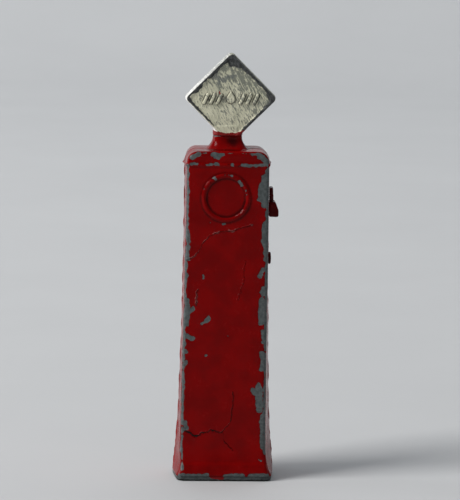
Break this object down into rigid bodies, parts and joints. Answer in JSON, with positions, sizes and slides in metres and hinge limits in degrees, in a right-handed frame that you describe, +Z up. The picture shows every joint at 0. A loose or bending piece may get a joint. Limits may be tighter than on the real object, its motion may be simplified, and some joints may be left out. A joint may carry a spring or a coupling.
{
  "type": "toy petrol pump",
  "caption": "Small die-cast toy petrol pump: upright body with flared foot, bead, dial ring, diamond sign on a neck, and a lift-out nozzle in a side boot.",
  "frame": {"origin": "on the bench, under the middle of the foot", "axes": "+Z up, -Y out of the dial face, +X towards the nozzle side"},
  "size_m": [0.0149, 0.0104, 0.0621],
  "materials": {
    "red_enamel": "gloss enamel over zinc, chipped along the edges",
    "cream_enamel": "worn satin enamel over zinc",
    "pin_steel": "dull bare steel",
    "plate_steel": "dark unpainted steel"
  },
  "bodies": {
    "pump": {"front_casting": "red_enamel", "rear_casting": "red_enamel", "sign_casting": "cream_enamel", "sign_pin": "pin_steel", "upper_tie_pin": "pin_steel", "lower_tie_pin": "pin_steel", "base_plate": "plate_steel", "front_base_pin": "pin_steel", "rear_base_pin": "pin_steel", "nozzle_boot": "red_enamel", "hose_socket": "red_enamel"},
    "nozzle": {"nozzle": "red_enamel"}
  },
  "joints": [
    {"name": "nozzle_lift", "type": "slide", "parent": "pump", "child": "nozzle", "axis": [0, 0, 1], "range_m": [0, 0.0028]}
  ]
}
